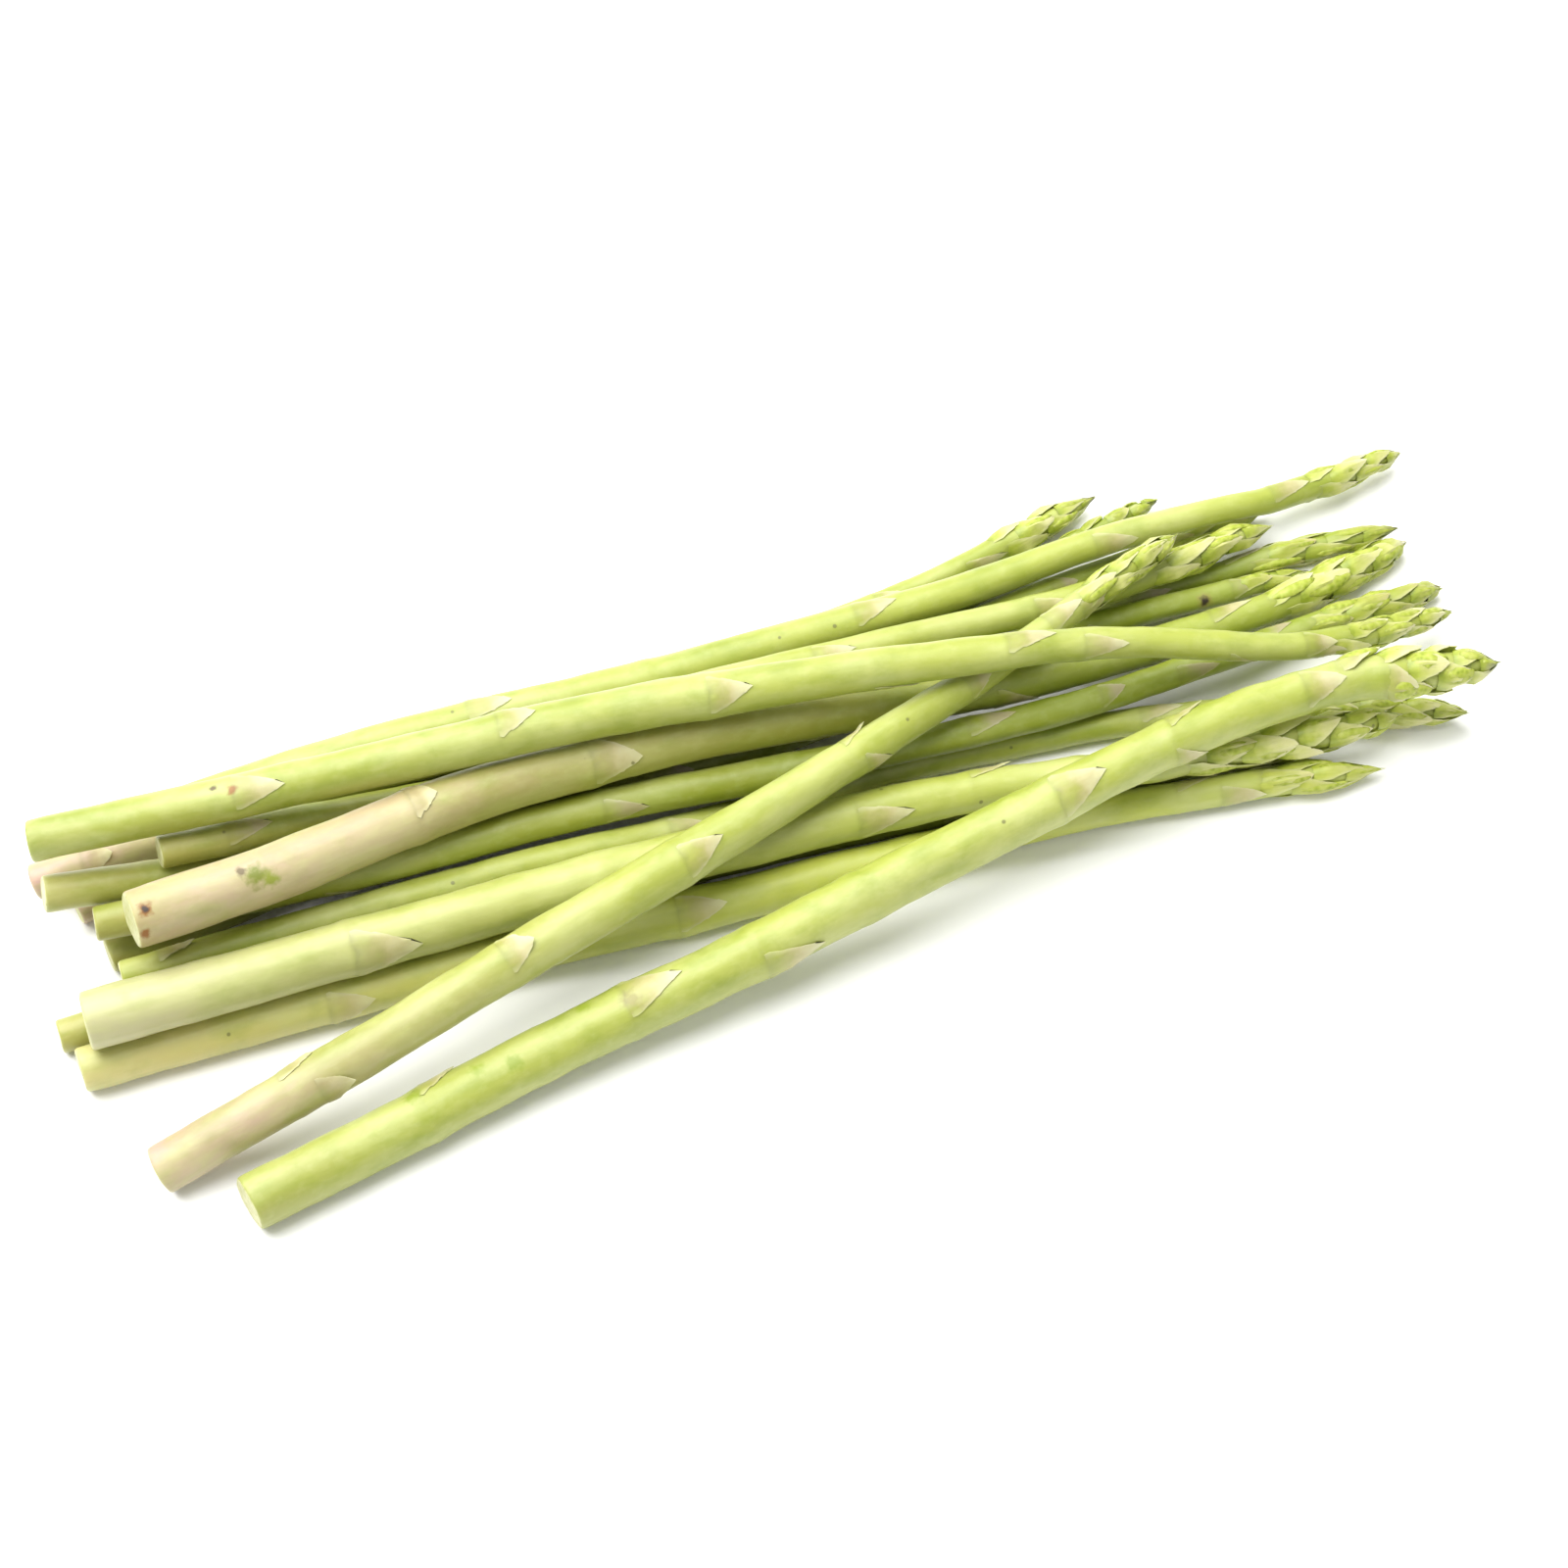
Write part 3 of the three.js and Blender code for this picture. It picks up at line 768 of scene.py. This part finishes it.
def growStalk(spear, rings):
    # a straight stalk drawn out ring by ring from its cut end
    bpy.ops.object.select_all(action="DESELECT")
    bpy.ops.mesh.primitive_circle_add(
        vertices=stalk["sides"], radius=rings[0][1], fill_type="NGON", rotation=(0, math.pi / 2, 0))
    piece = bpy.context.object
    piece.name = spear["node"] + "_grown"
    bpy.ops.object.transform_apply(location=True, rotation=True, scale=True)
    bpy.ops.object.mode_set(mode="EDIT")
    bpy.ops.mesh.select_mode(type="FACE")
    bpy.ops.mesh.select_all(action="SELECT")
    for (fromPlace, fromRadius), (toPlace, toRadius) in zip(rings, rings[1:]):
        bpy.ops.mesh.extrude_region_move(
            TRANSFORM_OT_translate={"value": (toPlace - fromPlace, 0, 0)})
        widening = toRadius / fromRadius
        bpy.ops.transform.resize(value=(1, widening, widening))
    pick(piece, "FACE", lambda middle: middle.x < 0.01 * mm)  # the cut end
    for share, depth in stalk["cutInsets"]:
        bpy.ops.mesh.inset(thickness=share * rings[0][1], depth=depth)
    bpy.ops.mesh.select_all(action="SELECT")
    bpy.ops.mesh.normals_make_consistent(inside=False)
    bpy.ops.object.mode_set(mode="OBJECT")
    return piece


# How the leaves sit. rise is how far a point stands off, in stalk radii, wide is the width as a share
# of the pattern's, lean is how many degrees a point leans to either side.

stalkLeafHabit = {
    "turn": 5,  # degrees that a leaf may sit off its place
    "rise": 0.02,
    "wide": (0.8, 1.15),
    "lean": 16,
    "budded": {"rise": 0.14, "budStart": 0.6 * mm, "budLength": 0.85, "budTurn": 9, "budRise": 0.30},
}
headHabit = {
    "crowding": 1.1,  # more than 1 crowds the scales towards the tip
    "lastScale": 3.5 * mm,  # how far its base is from the tip
    "shrink": 0.35,  # how much shorter the last scale is
    "uneven": (0.9, 1.08),
    "past": (0.6 * mm, 0.8 * mm),  # how far past the tip a scale may reach, before and after "uneven"
    "closedFrom": 0.85,  # share of the spiral from which no scale is open
    "rise": (0.0, 0.05),
    "openRise": 0.08,
    "wide": (0.75, 1.0),
    "lean": 16,
    "budStart": 0.1,  # share of the scale's length
    "budLength": 0.85,
    "budTurn": 14,
    "budRise": 0.04,
    "turn": 8,  # degrees either side of the golden turn
}


def fitted(kind, at, length, turn, surface, dice, rise=0.0, wide=1.0, lean=0.0):
    # a copy of a leaf pattern with a mesh of its own, laid on the surface of the spear there
    pattern = dice.choice(patterns[kind])
    copy = bpy.data.objects.new(kind, pattern.data.copy())
    bpy.context.scene.collection.objects.link(copy)
    for vertex in copy.data.vertices:
        x, y, z = vertex.co
        around = wide * math.atan2(-y, z) + math.radians(turn + lean * x)
        out = (math.hypot(y, z) + rise * x) * surface(at + length * x)
        vertex.co = (at + length * x, -out * math.sin(around), out * math.cos(around))
    return copy


def growLeaves(spear, surface, dice):
    # the scale leaves on the stalk, some with a bud under them
    habit = stalkLeafHabit
    budded = habit["budded"]
    leaves, buds = [], []
    for distance, turn, kind, size in spear["leaves"]:
        at = distance * mm
        if kind == "budded":
            leaves.append(fitted("openHead", at, size * mm, turn, surface, dice, rise=budded["rise"]))
            buds.append(fitted(
                "bud", at + budded["budStart"], budded["budLength"] * size * mm,
                turn + budded["budTurn"], surface, dice, rise=budded["budRise"]))
        else:
            turn += dice.uniform(-habit["turn"], habit["turn"])
            leaves.append(fitted(
                kind, at, size * mm, turn, surface, dice, rise=habit["rise"],
                wide=dice.uniform(*habit["wide"]), lean=dice.uniform(-habit["lean"], habit["lean"])))
    return leaves, buds


def growHead(spear, length, envelope, dice):
    # buds and scales in a spiral, closer and smaller towards the tip
    head = spear["head"]
    habit = headHabit
    leaves, buds = [], []
    turn = dice.uniform(0, 360)
    for i in range(head["count"]):
        share = i / (head["count"] - 1)
        left = head["length"] * (1 - share) ** habit["crowding"] + habit["lastScale"]
        at = length - left
        size = min(head["leaf"] * (1 - habit["shrink"] * share), left + habit["past"][0])
        size = min(size * dice.uniform(*habit["uneven"]), left + habit["past"][1])
        isOpen = dice.random() < head["open"] and share < habit["closedFrom"]
        rise = dice.uniform(*habit["rise"]) + (habit["openRise"] if isOpen else 0)
        leaves.append(fitted(
            "openHead" if isOpen else "head", at, size, turn, envelope, dice, rise,
            wide=dice.uniform(*habit["wide"]), lean=dice.uniform(-habit["lean"], habit["lean"])))
        buds.append(fitted(
            "bud", at + habit["budStart"] * size, habit["budLength"] * size,
            turn + dice.uniform(-habit["budTurn"], habit["budTurn"]), envelope, dice,
            rise=rise + habit["budRise"] * head["bud"], wide=head["bud"]))
        turn += goldenTurn + dice.uniform(-habit["turn"], habit["turn"])
    return leaves, buds


ringMark = {
    "width": 0.5,  # mm along the stalk
    "strongest": 1.2,  # under the middle of the leaf; past 1, so that it stays full for a few degrees
    "fade": 80,  # degrees round the stalk over which it would fall by 1
    "faintest": 0.1,  # on the far side
}


def notePlaces(piece, spear):
    # where each point is on the straight spear, for patterns that follow the stalk, and how strongly
    # the ring under a scale leaf shows there
    places = np.zeros(len(piece.data.vertices) * 3)
    piece.data.vertices.foreach_get("co", places)
    places = places.reshape(-1, 3)
    straight = piece.data.attributes.new("straight", "FLOAT_VECTOR", "POINT")
    straight.data.foreach_set("vector", places.ravel())
    angles = np.degrees(np.arctan2(-places[:, 1], places[:, 2]))
    ring = np.zeros(len(places))
    for distance, turn, _, _ in spear["leaves"]:
        near = np.exp(-((places[:, 0] / mm - distance) / ringMark["width"]) ** 2)
        away = np.abs((angles - turn + 180) % 360 - 180)
        fading = np.clip(ringMark["strongest"] - away / ringMark["fade"], ringMark["faintest"], 1)
        ring = np.maximum(ring, near * fading)
    attribute = piece.data.attributes.new("ring", "FLOAT", "POINT")
    attribute.data.foreach_set("value", ring)


def dress(pieces, material):
    for piece in pieces:
        piece.data.materials.clear()
        piece.data.materials.append(material)


def join(target, pieces):
    bpy.ops.object.select_all(action="DESELECT")
    for piece in pieces:
        piece.select_set(True)
    target.select_set(True)
    bpy.context.view_layer.objects.active = target
    bpy.ops.object.join()


def makeSpear(spear, index):
    dice = random.Random(stalk["firstSeed"] + index)
    head = spear["head"]
    line, radii = readSpear(spear["node"])
    steps = np.linalg.norm(np.diff(line, axis=0), axis=1)
    walked = np.concatenate([[0], np.cumsum(steps)])
    length = float(walked[-1])

    def envelope(distance):
        # the width of the solid, rounded off or drawn to a point over the last of the head
        closing = min(max((distance - length) / head["closing"] + 1, 0), 1)
        widest = float(np.interp(min(distance, length - head["closing"]), walked, radii))
        return max(widest * (1 - closing ** head["blunt"]), stalk["thinnest"])

    rings = stalkRings(spear, length, envelope)
    ringPlaces, ringRadii = zip(*rings)

    def surface(distance):
        return float(np.interp(distance, ringPlaces, ringRadii))

    look = dict(spear["look"], seed=index + 1)
    piece = growStalk(spear, rings)
    skin = waxySkinMaterial("waxySkin_" + spear["node"], look, length, surface)
    piece.data.materials.append(skin)
    piece.data.materials.append(cutPith)
    for face in piece.data.polygons:
        onCutEnd = face.normal.x < -0.9 and face.center.x < 0.3 * mm
        face.material_index = 1 if onCutEnd else 0
    finishWith(piece, "SUBSURF", levels=1, render_levels=1)
    bpy.ops.object.shade_smooth()

    stalkLeaves, buds = growLeaves(spear, surface, dice)
    headLeaves, headBuds = growHead(spear, length, envelope, dice)
    dress(stalkLeaves, skin)
    dress(headLeaves, freshScaleMaterial("freshScale_" + spear["node"], look, length))
    dress(buds + headBuds, budMaterial("bud_" + spear["node"], look))
    join(piece, stalkLeaves + buds + headLeaves + headBuds)
    notePlaces(piece, spear)

    # a slow wobble, so that no spear is quite round or straight
    lumps = bpy.data.textures.new("lumps", "CLOUDS")
    lumps.cloud_type = "COLOR"
    lumps.noise_scale = (stalk["lump"] + index * stalk["lumpStep"]) * mm
    finishWith(piece, "DISPLACE", texture=lumps, texture_coords="LOCAL", direction="RGB_TO_XYZ",
               strength=stalk["unevenness"], mid_level=0.5)

    route = routeOf(spear["node"] + "_route", line)
    finishWith(piece, "CURVE", object=route, deform_axis="POS_X")
    bpy.data.objects.remove(route)
    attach(piece, "root")
    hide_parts(spear["node"])
    return piece


for index, spear in enumerate(spears):
    made = makeSpear(spear, index)
    print("made", made.name, len(made.data.polygons), "faces")
for pattern in sum(patterns.values(), []):
    bpy.data.objects.remove(pattern)


# Studio: a pale floor, a broad soft light from above and behind on the left, and white surroundings

studio = {
    "floorSize": 4.0,  # metres, as are the lights' sizes and places
    "floorColour": "#fafafa",
    "key": {"size": 1.4, "power": 28.0, "place": (-0.26, 0.40, 0.96)},
    "fill": {"size": 1.2, "power": 0.8, "place": (0.5, -0.7, 0.7)},
    "surroundings": 0.52,
}


def mattePaperMaterial():
    # uncoated paper, which hardly shines
    material, tree = startMaterial("mattePaper")
    shader = addNode(tree, "ShaderNodeBsdfPrincipled", {
        "Base Color": linear(studio["floorColour"]), "Roughness": 0.8})
    addNode(tree, "ShaderNodeOutputMaterial", {0: shader.outputs[0]})
    return material


def softLight(name, size, power, place):
    lamp = bpy.data.lights.new(name, "AREA")
    lamp.shape = "DISK"
    lamp.size = size
    lamp.energy = power
    holder = bpy.data.objects.new(name, lamp)
    holder.location = place
    holder.rotation_euler = (-Vector(place)).to_track_quat("-Z", "Y").to_euler()
    bpy.context.scene.collection.objects.link(holder)


bpy.ops.object.select_all(action="DESELECT")
bpy.ops.mesh.primitive_plane_add(size=studio["floorSize"])
floor = bpy.context.object
floor.name = "floor"
floor.data.materials.append(mattePaperMaterial())
softLight("key", **studio["key"])
softLight("fill", **studio["fill"])
world = bpy.data.worlds.new("surroundings")
world.use_nodes = True
sky = world.node_tree.nodes["Background"]
sky.inputs["Color"].default_value = (1, 1, 1, 1)
sky.inputs["Strength"].default_value = studio["surroundings"]
bpy.context.scene.world = world
bpy.context.scene.view_settings.view_transform = "Standard"
print("studio set")

camera = {
    "azimuth": -18,
    "elevation": 60,
    "distance": 0.85,
    "aim": (2.75 * mm, 8.9 * mm, 0.0),
    "viewWidth": 281.6 * mm,  # at the aim
    "sensor": 36.0,
}
azimuth = math.radians(camera["azimuth"])
elevation = math.radians(camera["elevation"])
back = Vector((  # from the aim towards the camera
    math.sin(azimuth) * math.cos(elevation), -math.cos(azimuth) * math.cos(elevation),
    math.sin(elevation)))
lens = bpy.data.cameras.new("camera")
lens.sensor_width = camera["sensor"]
lens.lens = camera["sensor"] * camera["distance"] / camera["viewWidth"]
eye = bpy.data.objects.new("camera", lens)
eye.location = Vector(camera["aim"]) + back * camera["distance"]
eye.rotation_euler = (-back).to_track_quat("-Z", "Y").to_euler()
bpy.context.scene.collection.objects.link(eye)
bpy.context.scene.camera = eye
print("camera set")
